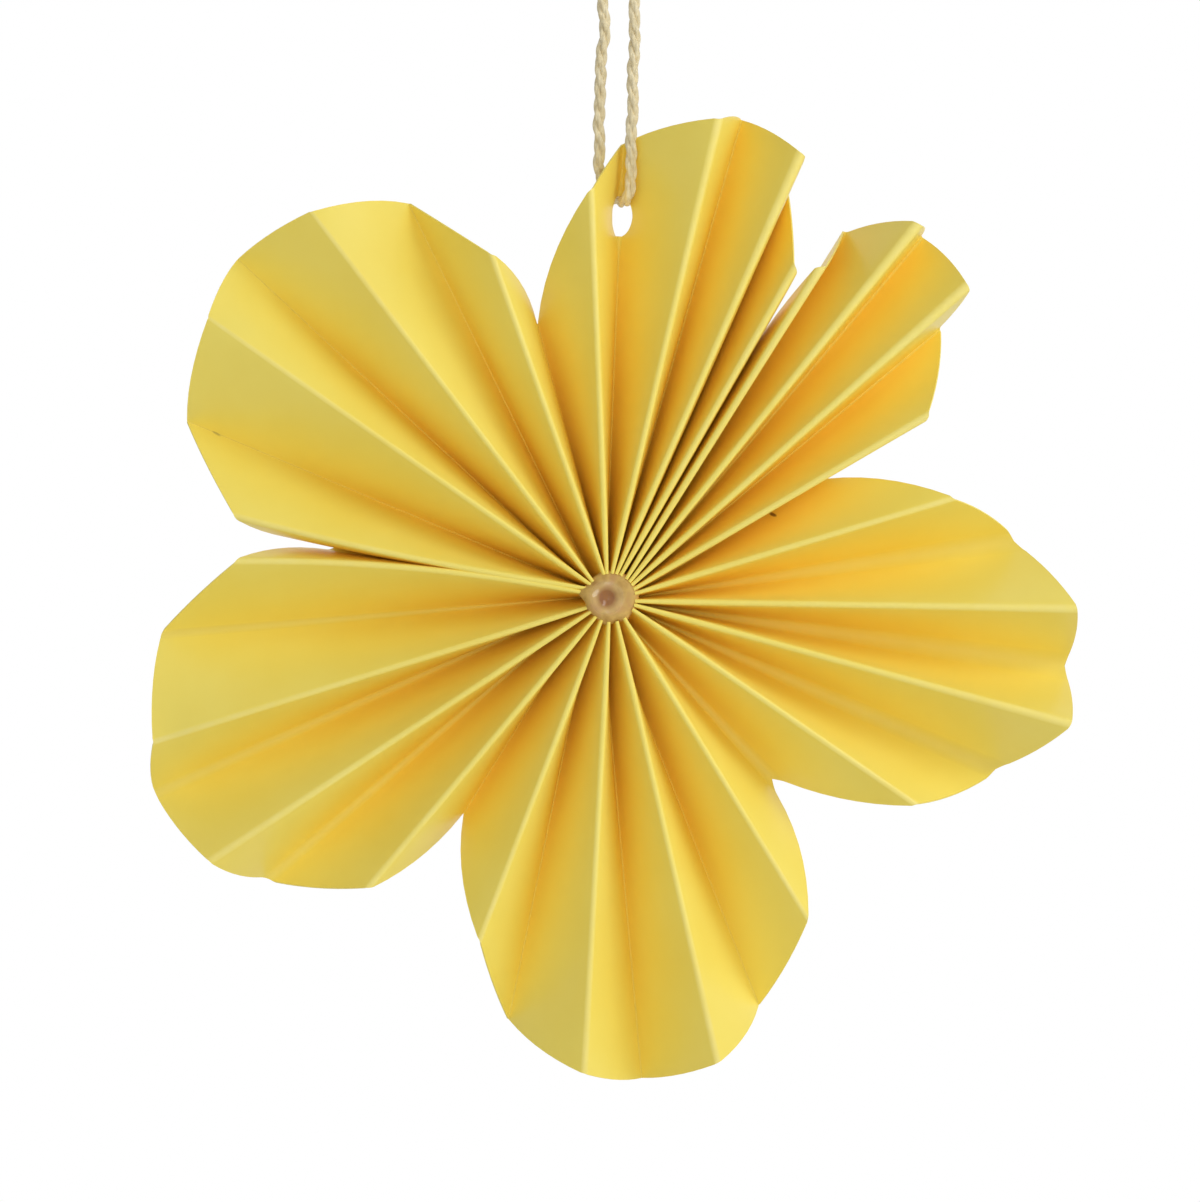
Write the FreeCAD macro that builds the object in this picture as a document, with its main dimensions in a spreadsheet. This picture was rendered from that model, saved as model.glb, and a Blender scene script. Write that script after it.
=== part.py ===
"""Pleated paper flower on a hanging cord: a parametric FreeCAD document in millimetres.

The flower is one long paper strip, folded into 48 panels, closed into a ring and glued
at its core. Its rim is cut into six petals of eight panels. It faces -Y with +Z up, and
the origin is the point that the cord hangs from, just under the cord's knot.

Folds alternate round the ring, counter-clockwise as seen from the front. The odd ones are
ridges, which stand out towards the front, and the even ones are valleys. Fold 0 of each
petal is the valley of the notch before it.
"""
import FreeCAD, Part
import math
import os

Vector = FreeCAD.Vector
Rotation = FreeCAD.Rotation
Placement = FreeCAD.Placement
FRONT, BACK = -1, 1
FOLDS_A_PETAL = 8

# The facets that follow the paper: round each fold, across each panel and along both.
FACETS_ROUND = 3
FACETS_ACROSS = 2
FACETS_ALONG = 4

# A panel always climbs at least this share of its width, however flat it lies.
LEAST_RISE = 0.1

# The share of the shorter run beside a bend of the cord that the bend's arc takes.
BEND_SHARE = 0.45

# Driving sizes in millimetres and degrees.
SIZES = {
    "pleat_width": 16.0,
    "paper_thickness": 0.25,
    "core_radius": 4.4,
    "core_fold_radius": 0.15,
    "rim_fold_radius": 1.0,
    "rim_bulge": 0.6,
    "seam_pinch_before": 0.8,
    "seam_pinch_after": 1.4,
    "rim_start": 301.5,
    "core_start": 303.0,
    "hole_diameter": 6.4,
    "hole_reach": 60.5,
    "punch_depth": 1.5,
    "glue_clearance": 0.35,
    "glue_crown": 1.0,
    "glue_dimple_radius": 1.4,
    "glue_dimple_offset": 0.8,
    "cord_diameter": 1.9,
    "axis_drop": 97.0,
    "axis_shift": 0.95,
    "axis_forward": 6.0,
    "knot_radius": 4.4,
    "knot_height": 7.5,
    "tail_length": 14.0,
    "tail_spread": 14.0,
}

# Each petal, counter-clockwise from the right. The gaps are the angles between one ridge
# and the next, at the rim and at the core. A valley's shares are how far across its gap it
# lies at the rim and at the core; one below 0 or above 1 leans under the next pleat. The
# reaches are the distances from the axis to the rim at its folds.
PETALS = {
    "right": {
        "rim_gap": (24.3, 18.8, 14.1, 17.6),
        "core_gap": (28, 12, 10, 18),
        "rim_share": (0.43, 0.53, 0.49, 0.53),
        "core_share": (0.0, 0.1, 0.3, 0.5),
        "reach": (38.4, 58.1, 66.7, 75.2, 72.7, 73.5, 64.5, 56.2),
    },
    "upper_right": {
        "rim_gap": (13.7, 11.3, 9.4, 6.9),
        "core_gap": (11, 11, 9, 10),
        "rim_share": (0.95, 0.81, 0.83, 0.95),
        "core_share": (0.1, 0.7, 0.55, 0.45),
        "reach": (38.4, 57.7, 67.3, 74.7, 75.5, 76.3, 68.9, 61.8),
    },
    "top": {
        "rim_gap": (3.3, 6.1, 10.5, 15.4),
        "core_gap": (14, 10, 10, 13),
        "rim_share": (0.95, 0.93, 0.73, 0.71),
        "core_share": (0.6, 0.3, 0.9, 1.12),
        "reach": (44.2, 59.6, 70.2, 76.2, 78.5, 77.4, 71.9, 64.5),
    },
    "upper_left": {
        "rim_gap": (16.3, 18.6, 17.5, 22.3),
        "core_gap": (8, 30, 10, 13),
        "rim_share": (0.74, 0.43, 0.57, 0.54),
        "core_share": (1.25, 0.95, 1.35, 0.88),
        "reach": (44.9, 57.2, 70.2, 77.1, 79.8, 77.4, 72.7, 60.7),
    },
    "lower_left": {
        "rim_gap": (6.9, 22.8, 15.9, 16.8),
        "core_gap": (9, 33, 12, 17),
        "rim_share": (0.25, 0.45, 0.38, 0.375),
        "core_share": (0.75, 0.3, -1.0, -0.8),
        "reach": (44.2, 59.4, 71.4, 75.7, 78.5, 75.7, 70.2, 59.6),
    },
    "bottom": {
        "rim_gap": (18.9, 17.8, 16.2, 18.6),
        "core_gap": (16, 18, 19, 19),
        "rim_share": (0.30, 0.42, 0.43, 0.38),
        "core_share": (-1.1, -1.2, -0.8, -0.9),
        "reach": (41.4, 57.8, 68.7, 75.1, 76.2, 75.2, 68.6, 59.4),
    },
}
SEAM_NOTCH = "lower_left"          # the strip's two ends meet in the notch before this petal
HOLE_PETAL, HOLE_FOLD = "top", 6   # the cord's hole is punched across this petal's last valley

# Turned outlines, as shares of the piece's radius and height.
CROWN_OUTLINE = ((1.0, 0.0), (0.86, 0.5), (0.5, 0.88), (0.0, 1.0))
KNOT_OUTLINE = ((0.0, 0.0), (0.84, 0.0), (1.0, 0.3), (0.95, 0.6), (0.6, 0.9), (0.0, 1.0))

# The cord's centreline about the flower's axis, from the knot down behind the paper,
# through the hole and up in front of it.
CORD_ROUTE = (
    (-1.75, 6.0, 97.0),
    (-1.75, 6.0, 90.0),
    (-2.1, 6.8, 67.5),
    (0.65, 8.8, 62.1),
    (2.35, 3.0, 62.0),
    (3.4, 2.25, 66.5),
    (3.65, 6.0, 90.0),
    (3.65, 6.0, 97.0),
)


def add_sheet(doc):
    """The spreadsheet of driving sizes, one alias a row."""
    sheet = doc.addObject("Spreadsheet::Sheet", "sizes")
    rows = list(SIZES.items())
    for petal, lists in PETALS.items():
        for kind, values in lists.items():
            rows += [(f"{petal}_{kind}_{i}", value) for i, value in enumerate(values)]
    for row, (alias, value) in enumerate(rows, start=1):
        sheet.set(f"A{row}", alias.replace("_", " "))
        sheet.set(f"B{row}", str(value))
        sheet.setAlias(f"B{row}", alias)
    doc.recompute()
    return sheet


def petal_values(sheet, kind):
    """One kind of petal size, for all petals in turn."""
    return [
        sheet.get(f"{petal}_{kind}_{i}")
        for petal, lists in PETALS.items()
        for i in range(len(lists[kind]))
    ]


def first_fold(petal):
    """The number, round the ring, of a petal's first fold."""
    return FOLDS_A_PETAL * list(PETALS).index(petal)


def turned(start, gaps):
    """The angle of each ridge: the gaps added up from the start and closed into one turn."""
    scale = 360.0 / sum(gaps)
    angles, angle = [], start
    for gap in gaps:
        angle += gap * scale
        angles.append(angle)
    return angles


def with_valleys(ridges, shares):
    """Fold angles: before each ridge, its valley at a share of the gap."""
    folds = []
    for i, ridge in enumerate(ridges):
        before = ridges[i - 1] - (360.0 if i == 0 else 0.0)
        folds += [before + shares[i] * (ridge - before), ridge]
    return folds


def polar(radius, degrees):
    """A point in the flower's plane: X to the right, Z up."""
    angle = math.radians(degrees)
    return Vector(radius * math.cos(angle), 0, radius * math.sin(angle))


class Pleats:
    """The folded strip: where each fold and each panel runs, about the flower's axis.

    A fold is straight as seen from the front. At every reach the panels keep the pleat's
    width, so they stand steep at the core and open towards the rim. The paper turns round
    each fold on a small radius, tangent to the panels on both sides.
    """

    def __init__(self, sheet):
        self.width = sheet.get("pleat_width")
        self.half = sheet.get("paper_thickness") / 2
        self.core = sheet.get("core_radius")
        self.core_fold = sheet.get("core_fold_radius")
        self.rim_fold = sheet.get("rim_fold_radius")
        self.bulge = sheet.get("rim_bulge")
        self.reach = petal_values(sheet, "reach")
        self.count = len(self.reach)
        rim_ridges = turned(sheet.get("rim_start"), petal_values(sheet, "rim_gap"))
        core_ridges = turned(sheet.get("core_start"), petal_values(sheet, "core_gap"))
        rims = with_valleys(rim_ridges, petal_values(sheet, "rim_share"))
        cores = with_valleys(core_ridges, petal_values(sheet, "core_share"))
        self.inner = [polar(self.core, angle) for angle in cores]
        self.outer = [polar(reach, angle) for reach, angle in zip(self.reach, rims)]
        self.across = []
        for inner, outer in zip(self.inner, self.outer):
            along = (outer - inner).normalize()
            self.across.append(Vector(-along.z, 0, along.x))
        seam = first_fold(SEAM_NOTCH)
        self.bow = {
            seam - 1: sheet.get("seam_pinch_before"),
            seam + 1: -sheet.get("seam_pinch_after"),
        }

    def plan(self, fold, reach):
        """The fold as seen from the front, at a distance from the axis."""
        fold %= self.count
        share = (reach - self.core) / (self.reach[fold] - self.core)
        point = self.inner[fold] + (self.outer[fold] - self.inner[fold]) * share
        return point + self.across[fold] * (4 * share * (1 - share) * self.bow.get(fold, 0.0))

    def rise(self, panel, reach):
        """How far a panel of full width climbs from its valley to its ridge."""
        gap = (self.plan(panel + 1, reach) - self.plan(panel, reach)).Length
        return math.sqrt(max(self.width**2 - gap**2, (LEAST_RISE * self.width) ** 2))

    def fold_radius(self, reach):
        """The fold's inner radius to mid-paper: tight at the core, softer at the rim."""
        share = (reach - self.core) / (max(self.reach) - self.core)
        return self.core_fold + (self.rim_fold - self.core_fold) * share**2

    def side(self, fold):
        """FRONT for a ridge and BACK for a valley."""
        return FRONT if fold % 2 else BACK

    def centre(self, fold, reach):
        """The centre that the paper turns round at a fold."""
        height = (self.rise(fold - 1, reach) + self.rise(fold, reach)) / 4
        point = self.plan(fold, reach)
        point.y = self.side(fold) * (height - self.fold_radius(reach))
        return point

    def slope(self, panel, reach):
        """A panel's angle from the flower's plane, in radians: over a right angle if it leans."""
        step = self.centre(panel + 1, reach) - self.centre(panel, reach)
        across = self.across[panel % self.count] + self.across[(panel + 1) % self.count]
        gap = step.dot(across.normalize())
        turn = math.asin(2 * self.fold_radius(reach) / step.Length)
        return math.atan2(abs(step.y), gap) + turn

    def outward(self, fold, angle):
        """From a fold's centre towards the paper, turned from the fold's middle."""
        fold %= self.count
        return self.across[fold] * math.sin(angle) + Vector(0, self.side(fold) * math.cos(angle), 0)

    def skin_radius(self, fold, reach, skin):
        """The radius of the paper's front or back skin round a fold."""
        return self.fold_radius(reach) + self.side(fold) * skin * self.half

    def turn_point(self, fold, share, reach, skin):
        """A point on one skin round a fold, at a share of the fold's whole turn."""
        before, after = self.slope(fold - 1, reach), self.slope(fold, reach)
        outward = self.outward(fold, (before + after) * share - before)
        return self.centre(fold, reach) + outward * self.skin_radius(fold, reach, skin)

    def panel_point(self, panel, share, reach, skin):
        """A point on a flat panel's skin, between the turns of its two folds."""
        start = self.turn_point(panel, 1, reach, skin)
        end = self.turn_point(panel + 1, 0, reach, skin)
        return start + (end - start) * share

    def rim(self, panel, share):
        """The rim's reach at a share of the way across a panel."""
        here = self.reach[panel % self.count]
        there = self.reach[(panel + 1) % self.count]
        return here + (there - here) * share + 4 * self.bulge * share * (1 - share)

    def turn_width(self, fold, panel):
        """The share of a panel's width that a fold's turn takes at the rim."""
        reach = self.reach[fold % self.count]
        return self.fold_radius(reach) * self.slope(panel, reach) / self.width

    def turn_rim(self, fold, share):
        """The rim's reach at a share of a fold's turn."""
        offset = 2 * share - 1
        if offset < 0:
            return self.rim(fold - 1, 1 + offset * self.turn_width(fold, fold - 1))
        return self.rim(fold, offset * self.turn_width(fold, fold))

    def panel_rim(self, panel, share):
        """The rim's reach at a share of a flat panel between its folds' turns."""
        start = self.turn_width(panel, panel)
        end = 1 - self.turn_width(panel + 1, panel)
        return self.rim(panel, start + (end - start) * share)

    def column(self, point, fold, share, rim, skin):
        """Points down one skin from the core to the rim."""
        step = (rim - self.core) / FACETS_ALONG
        reaches = [self.core + step * i for i in range(FACETS_ALONG + 1)]
        return [point(fold, share, reach, skin) for reach in reaches]

    def columns(self, skin):
        """One skin's points all round the ring: each fold's turn, then its panel."""
        columns = []
        for fold in range(self.count):
            for i in range(FACETS_ROUND + 1):
                share = i / FACETS_ROUND
                rim = self.turn_rim(fold, share)
                columns.append(self.column(self.turn_point, fold, share, rim, skin))
            for i in range(1, FACETS_ACROSS):
                share = i / FACETS_ACROSS
                rim = self.panel_rim(fold, share)
                columns.append(self.column(self.panel_point, fold, share, rim, skin))
        return columns


def facets(a, b, c, d):
    """Two flat faces that fill four corners."""
    return [Part.Face(Part.makePolygon(corners)) for corners in ((a, b, c, a), (a, c, d, a))]


def strip_solid(pleats):
    """The whole folded strip as one solid: two skins and the paper's cut edges."""
    front, back = pleats.columns(FRONT), pleats.columns(BACK)
    faces = []
    for i in range(len(front)):
        for skin in (front, back):
            here, there = skin[i - 1], skin[i]
            for j in range(FACETS_ALONG):
                faces += facets(here[j], there[j], there[j + 1], here[j + 1])
        for end in (0, -1):
            faces += facets(front[i - 1][end], front[i][end], back[i][end], back[i - 1][end])
    sewn = Part.Compound(faces)
    sewn.sewShape()
    solid = Part.Solid(sewn.Shells[0])
    if solid.Volume < 0:
        solid.reverse()
    return solid


def add_hole_cutters(doc, pleats, sheet):
    """Half a punched disc on each panel beside the hole's fold."""
    fold = first_fold(HOLE_PETAL) + HOLE_FOLD
    reach = sheet.get("hole_reach")
    radius = pleats.fold_radius(reach)
    before, after = pleats.slope(fold - 1, reach), pleats.slope(fold, reach)
    crease = pleats.centre(fold, reach)
    crease += pleats.outward(fold, (after - before) / 2) * (radius / math.cos((before + after) / 2))
    across = pleats.across[fold]
    along = Vector(across.z, 0, -across.x)
    cutters = []
    for name, angle in (("hole_before", -before), ("hole_after", after)):
        cutter = doc.addObject("Part::Cylinder", name)
        cutter.setExpression("Radius", "sizes.hole_diameter / 2")
        cutter.setExpression("Height", "2 * sizes.punch_depth")
        cutter.Angle = 180
        axis = pleats.outward(fold, angle)
        away = pleats.outward(fold, angle + math.copysign(math.pi / 2, -angle)) * -1
        x_axis = away.cross(axis)
        rotation = Rotation(x_axis, away, axis, "ZXY")
        cutter.Placement = Placement(crease - axis * sheet.get("punch_depth"), rotation)
        cutters.append(cutter)
    return cutters


def place_flower(feature):
    """Bind a piece's place to the flower's axis."""
    feature.setExpression("Placement.Base.x", "-sizes.axis_shift")
    feature.setExpression("Placement.Base.y", "-sizes.axis_forward")
    feature.setExpression("Placement.Base.z", "-sizes.axis_drop")


def add_paper(doc, pleats, sheet):
    """The pleated strip with the cord's hole."""
    strip = doc.addObject("Part::Feature", "pleated_strip")
    strip.Shape = strip_solid(pleats)
    holes = doc.addObject("Part::MultiFuse", "hole")
    holes.Shapes = add_hole_cutters(doc, pleats, sheet)
    paper = doc.addObject("Part::Cut", "paper")
    paper.Base = strip
    paper.Tool = holes
    paper.Label = "pleated_paper"
    place_flower(paper)
    return paper


def add_turned_body(doc, name, plane, corners):
    """A body turned about its sketch's vertical axis from the corners of its half section."""
    body = doc.addObject("PartDesign::Body", name)
    sketch = body.newObject("Sketcher::SketchObject", name + "_profile")
    origin = next(feature for feature in body.Origin.OriginFeatures if feature.Role == plane)
    sketch.AttachmentSupport = [(origin, "")]
    sketch.MapMode = "FlatFace"
    for start, end in zip(corners, corners[1:] + corners[:1]):
        sketch.addGeometry(Part.LineSegment(Vector(*start, 0), Vector(*end, 0)), False)
    solid = body.newObject("PartDesign::Revolution", name + "_turned")
    solid.Profile = sketch
    solid.ReferenceAxis = (sketch, ["V_Axis"])
    solid.Angle = 360
    body.Tip = solid
    doc.recompute()
    return body


def add_glue(doc, sheet):
    """The plug of clear glue that fills the core and domes out at both faces."""
    radius = sheet.get("core_radius") - sheet.get("glue_clearance")
    depth = (sheet.get("pleat_width") + sheet.get("paper_thickness")) / 2
    crown = sheet.get("glue_crown")
    upper = [(x * radius, depth + y * crown) for x, y in CROWN_OUTLINE]
    lower = [(x, -y) for x, y in reversed(upper)]
    body = add_turned_body(doc, "glue", "XY_Plane", lower + upper)
    dimple = body.newObject("PartDesign::SubtractiveSphere", "glue_dimple")
    dimple.setExpression("Radius", "sizes.glue_dimple_radius")
    front = depth + crown + sheet.get("glue_dimple_radius") / 2
    dimple.Placement = Placement(Vector(-sheet.get("glue_dimple_offset"), -front, 0), Rotation())
    body.Tip = dimple
    body.Label = "glue_plug"
    place_flower(body)
    return body


def add_knot(doc, sheet):
    """The knot that closes the cord's loop: a rounded lump with its two cut ends on top."""
    radius, height = sheet.get("knot_radius"), sheet.get("knot_height")
    corners = [(x * radius, y * height) for x, y in KNOT_OUTLINE]
    lump = add_turned_body(doc, "knot_lump", "XZ_Plane", corners)
    tails = []
    for side in (-1, 1):
        tail = doc.addObject("Part::Cylinder", "tail")
        tail.setExpression("Radius", "sizes.cord_diameter / 2")
        tail.setExpression("Height", "sizes.tail_length")
        lean = Rotation(Vector(0, 1, 0), side * sheet.get("tail_spread"))
        start = Vector(side * sheet.get("cord_diameter") / 2, 0, height / 2)
        tail.Placement = Placement(start, lean)
        tails.append(tail)
    knot = doc.addObject("Part::MultiFuse", "knot")
    knot.Shapes = [lump] + tails
    knot.Label = "cord_knot"
    return knot


def tube_path(points):
    """Straight runs joined by tangent arcs, as one wire, and the arcs' radii."""
    edges, radii = [], []
    start = points[0]
    for before, corner, after in zip(points, points[1:], points[2:]):
        inward = (before - corner).normalize()
        onward = (after - corner).normalize()
        half_turn = (math.pi - inward.getAngle(onward)) / 2
        tangent = BEND_SHARE * min((before - corner).Length, (after - corner).Length)
        radius = tangent / math.tan(half_turn)
        radii.append(radius)
        middle = (inward + onward).normalize() * (radius / math.cos(half_turn) - radius)
        first, last = corner + inward * tangent, corner + onward * tangent
        edges.append(Part.LineSegment(start, first).toShape())
        edges.append(Part.Arc(first, corner + middle, last).toShape())
        start = last
    edges.append(Part.LineSegment(start, points[-1]).toShape())
    return Part.Wire(edges), radii


def add_cord(doc, sheet):
    """The cord: one length, down behind the paper, through its hole and up in front."""
    axis = Vector(sheet.get("axis_shift"), sheet.get("axis_forward"), sheet.get("axis_drop"))
    points = [Vector(*point) - axis for point in CORD_ROUTE]
    path, radii = tube_path(points)
    print("cord arc radii", [round(radius, 2) for radius in radii])
    radius = sheet.get("cord_diameter") / 2
    ring = Part.Wire(Part.Circle(points[0], points[1] - points[0], radius).toShape())
    cord = doc.addObject("Part::Feature", "cord")
    cord.Shape = path.makePipeShell([ring], True, False)
    section = math.pi * radius**2
    print("cord volume", round(cord.Shape.Volume, 2), "expected", round(section * path.Length, 2))
    cord.Label = "hanging_cord"
    return cord


def check_document(doc):
    """Stop if any object failed to build."""
    for obj in doc.Objects:
        if "Invalid" in obj.State or "Error" in obj.State:
            raise RuntimeError(f"{obj.Label} did not build: {obj.State}")


def write_parts(made):
    """Write each piece to its own STEP file, once all are sound."""
    for piece in made:
        if piece.Shape.isNull() or not piece.Shape.isValid():
            raise RuntimeError(f"{piece.Label} is not a valid shape")
    os.makedirs("parts", exist_ok=True)
    for piece in made:
        piece.Shape.exportStep(os.path.join("parts", piece.Label + ".step"))
        print(piece.Label, round(piece.Shape.Volume, 1), piece.Shape.BoundBox, len(piece.Shape.Solids))


def main():
    doc = FreeCAD.newDocument("paper_flower")
    sheet = add_sheet(doc)
    pleats = Pleats(sheet)
    made = [
        add_paper(doc, pleats, sheet),
        add_glue(doc, sheet),
        add_cord(doc, sheet),
        add_knot(doc, sheet),
    ]
    doc.recompute()
    check_document(doc)
    write_parts(made)


main()
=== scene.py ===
"""The paper flower's looks: one pleated strip of satin yellow paper, a plug of milky glue in
its core, and the twisted cotton cord that it hangs by, with its knot. Sizes are in millimetres
about the flower's axis, unless a comment says otherwise, and the meshes are in metres in the
row frame. The flower faces -Y with +Z up."""
import math
from collections import namedtuple

import bmesh
import bpy
import numpy as np
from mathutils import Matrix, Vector, noise

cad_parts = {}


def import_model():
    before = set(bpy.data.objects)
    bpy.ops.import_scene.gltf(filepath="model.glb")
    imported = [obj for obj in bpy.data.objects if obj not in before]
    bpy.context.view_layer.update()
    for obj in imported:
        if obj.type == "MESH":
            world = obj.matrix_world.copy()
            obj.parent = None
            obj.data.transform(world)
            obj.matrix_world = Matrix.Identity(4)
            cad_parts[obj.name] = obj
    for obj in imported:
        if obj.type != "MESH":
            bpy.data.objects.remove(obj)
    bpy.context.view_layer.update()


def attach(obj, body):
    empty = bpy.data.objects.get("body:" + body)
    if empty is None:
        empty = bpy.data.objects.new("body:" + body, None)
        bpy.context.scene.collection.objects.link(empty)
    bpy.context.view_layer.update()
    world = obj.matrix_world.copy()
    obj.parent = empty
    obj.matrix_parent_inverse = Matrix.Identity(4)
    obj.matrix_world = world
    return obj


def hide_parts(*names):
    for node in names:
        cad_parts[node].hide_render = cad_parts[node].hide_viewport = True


MM = 0.001
FRONT, BACK = -1, 1
AXIS = np.array([-0.95, -6.0, -97.0])   # the flower's axis in the row frame

# ---- the folded strip ----
WIDTH = 16.0                         # of a panel, from fold to fold
THICKNESS = 0.25
CORE = 4.4                           # where the solid strip begins
INNER = 3.8                          # where this one begins: its ends run on into the glue
CORE_FOLD = 0.15                     # the folds' radii: at the core,
RIDGE_FOLD = 0.4                     # along most of a ridge,
RIM_FOLD = 1.0                       # and at a ridge's end
RIDGE_OPENS = 5.0                    # how far out the ridges take to round
BULGE = 0.6                          # of the cut rim, across a panel
BOW_GROWS = 45.0                     # how far out the panels take to bow in full
PINCH_BEFORE, PINCH_AFTER = 0.8, 1.4   # how far the folds beside the tight gap bow
LEAST_RISE = 0.1                     # a panel's least depth, as a share of its width
RIM_START, CORE_START = 301.5, 303.0   # the last ridge's angles at the rim and at the core
TURN_STEPS, PANEL_STEPS, LONG_STEPS = 8, 7, 28
SHARP_ANGLE = 50.0                   # degrees; edges that turn by more are sharp

# Each petal's four ridge gaps in degrees and its four valleys' shares of those gaps, at the rim
# and at the core; its eight folds' distances from the axis at the rim, a valley first; how far
# its panels bow to the front; and the radius of its valleys at the rim. A share below 0 or
# above 1 is a valley that leans under the next pleat.
Petal = namedtuple("Petal", "rim_gaps core_gaps rim_shares core_shares reaches bow valley")
PETALS = {                           # counter-clockwise from the right
    "right": Petal(
        rim_gaps=(24.3, 18.8, 14.1, 17.6), core_gaps=(28, 12, 10, 18),
        rim_shares=(0.43, 0.53, 0.49, 0.53), core_shares=(0.0, 0.1, 0.3, 0.5),
        reaches=(38.4, 58.1, 66.7, 75.2, 72.7, 73.5, 64.5, 56.2), bow=-0.1, valley=3.0),
    "upper_right": Petal(
        rim_gaps=(13.7, 11.3, 9.4, 6.9), core_gaps=(11, 11, 9, 10),
        rim_shares=(0.95, 0.81, 0.83, 0.95), core_shares=(0.1, 0.7, 0.55, 0.45),
        reaches=(38.4, 57.7, 67.3, 74.7, 75.5, 76.3, 68.9, 61.8), bow=0.1, valley=0.5),
    "top": Petal(
        rim_gaps=(3.3, 6.1, 10.5, 15.4), core_gaps=(14, 10, 10, 13),
        rim_shares=(0.95, 0.93, 0.73, 0.71), core_shares=(0.6, 0.3, 0.9, 1.12),
        reaches=(44.2, 59.6, 70.2, 76.2, 78.5, 77.4, 71.9, 64.5), bow=0.35, valley=0.3),
    "upper_left": Petal(
        rim_gaps=(16.3, 18.6, 17.5, 22.3), core_gaps=(8, 30, 10, 13),
        rim_shares=(0.74, 0.43, 0.57, 0.54), core_shares=(1.25, 0.95, 1.35, 0.88),
        reaches=(44.9, 57.2, 70.2, 77.1, 79.8, 77.4, 72.7, 60.7), bow=0.8, valley=0.3),
    "lower_left": Petal(
        rim_gaps=(6.9, 22.8, 15.9, 16.8), core_gaps=(9, 33, 12, 17),
        rim_shares=(0.25, 0.45, 0.38, 0.375), core_shares=(0.75, 0.3, -1.0, -0.8),
        reaches=(44.2, 59.4, 71.4, 75.7, 78.5, 75.7, 70.2, 59.6), bow=0.3, valley=1.5),
    "bottom": Petal(
        rim_gaps=(18.9, 17.8, 16.2, 18.6), core_gaps=(16, 18, 19, 19),
        rim_shares=(0.30, 0.42, 0.43, 0.38), core_shares=(-1.1, -1.2, -0.8, -0.9),
        reaches=(41.4, 57.8, 68.7, 75.1, 76.2, 75.2, 68.6, 59.4), bow=0.5, valley=0.3),
}
FOLDS_A_PETAL = 8
SEAM_FOLD = FOLDS_A_PETAL * list(PETALS).index("lower_left")   # the valley in the tight gap
HOLE_FOLD = FOLDS_A_PETAL * list(PETALS).index("top") + 6      # the valley with the hole

# ---- the punched hole ----
HOLE_DIAMETER, HOLE_REACH = 6.4, 60.5
HOLE_SLACK, HOLE_SPREAD = 1.0, 4.0   # how much rounder the valley is at the hole, and how far
HOLE_STEPS = 32                      # edges of half the punched disc
PUNCH_DEPTH, PUNCH_OVERLAP = 1.5, 0.05

# ---- the paper's colours, in sRGB, its wear, and its painted highlights and shade ----
PAPER_COLOURS = (252, 229, 103), (253, 233, 112)
# The pale crease is a ridge's worn crease with a painted highlight, the dark crease is painted
# shade in a valley's crease, and the mark colour is the marks' own.
RIDGE_WEAR_AND_HIGHLIGHT, VALLEY_PAINTED_SHADE, MARK_COLOUR = (253, 240, 165), (196, 166, 78), (92, 62, 30)
PALE_CORE, PALE_GAIN = 0.08, 0.37    # a ridge's pale crease, worn and with a painted highlight, at the core, and what it gains
VALLEY_SHADE_REACH = 0.22                   # how far the painted shade in a valley's crease goes
MARKS = {                            # X, Z, length, width, lean in degrees and darkness
    "speck": (24.7, -83.8, 1.3, 0.6, -24.0, 0.85),
    "dash": (-63.4, -71.0, 1.6, 0.4, -30.0, 0.35),
}

# ---- the cord ----
CORD_ROUTE = (
    (-1.75, 6.0, 97.0), (-0.8, 6.0, 93.5), (-1.55, 6.1, 85.0), (-1.95, 6.5, 74.0),
    (-1.95, 6.9, 67.0), (0.65, 8.8, 62.7), (2.35, 3.0, 62.6), (3.3, 2.25, 66.5),
    (3.3, 4.2, 79.0), (3.8, 6.0, 90.0), (3.65, 6.0, 97.0),
)
STRANDS = 3                          # plies in the cord, and yarns in a ply
PLY_PITCH, YARN_PITCH = 9.2, -6.5
PLY_LAY, YARN_LAY, YARN_RADIUS = 0.48, 0.16, 0.35
PLY_START = 0.5                      # radians
YARN_UNEVEN = 0.07                   # how much a yarn thickens and thins
YARN_END, END_NARROW = 0.3, 0.6      # a yarn narrows near its ends: how near, and how far
WOBBLES = ((0.10, 9.5, 0.0), (0.07, 15.0, 1.3), (0.05, 5.7, 2.1))   # swing, wavelength, turn
SPLAY_REACH = 2.0                    # how near its cut end a cord starts to open
ROPE_STEP, YARN_SIDES = 0.2, 7
COTTON_COLOURS = (220, 203, 158), (246, 234, 198)

# ---- the overhand knot in the doubled cord, in the row frame ----
KNOT_MIDDLE, KNOT_SIZE = (0.0, 0.0, 3.9), (1.15, 1.0, 0.27)
KNOT_END, KNOT_POINTS = 1.9, 25      # where the knot's curve is left, and its control points
KNOT_SPLAY = 0.5                     # how much the cut ends open
PAIR_APART = 0.95                    # from the pair's middle to each cord: in the knot,
LOOP_APART, LOOP_NECK = 2.7, 4.5     # in the loop under it, and over what length they part,
TAIL_APART, TAIL_FOOT, TAIL_TOP = 4.3, 8.0, 17.0   # and in the tails above it

# ---- the glue in the core ----
GLUE_WALL = 4.05                     # the plug's radius between the folds
GLUE_LIP, GLUE_LEAN, GLUE_LEANS_TO = 4.25, 0.15, 65.0   # its lips, wider at one angle
GLUE_ROUGH, FRONT_UNEVEN, BACK_UNEVEN = 2.2, 0.45, 0.4   # how the lips' outlines vary
GLUE_LOBE = (170.0, 14.0, 0.9)       # the web at the left: its angle, spread and reach
GLUE_FRONT, GLUE_DOME = 8.15, 0.3    # how far out its faces lie, and how far they dome
GLUE_UNDER, GLUE_EDGE = 6.7, 0.25    # where the lips end, and how much they draw in there
GLUE_STEP = 0.5                      # from the lips' ends down to the plug
GLUE_DROOP, DROOP_POWER = 1.0, 8     # how far the lips sink between the folds, and how late
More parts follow.
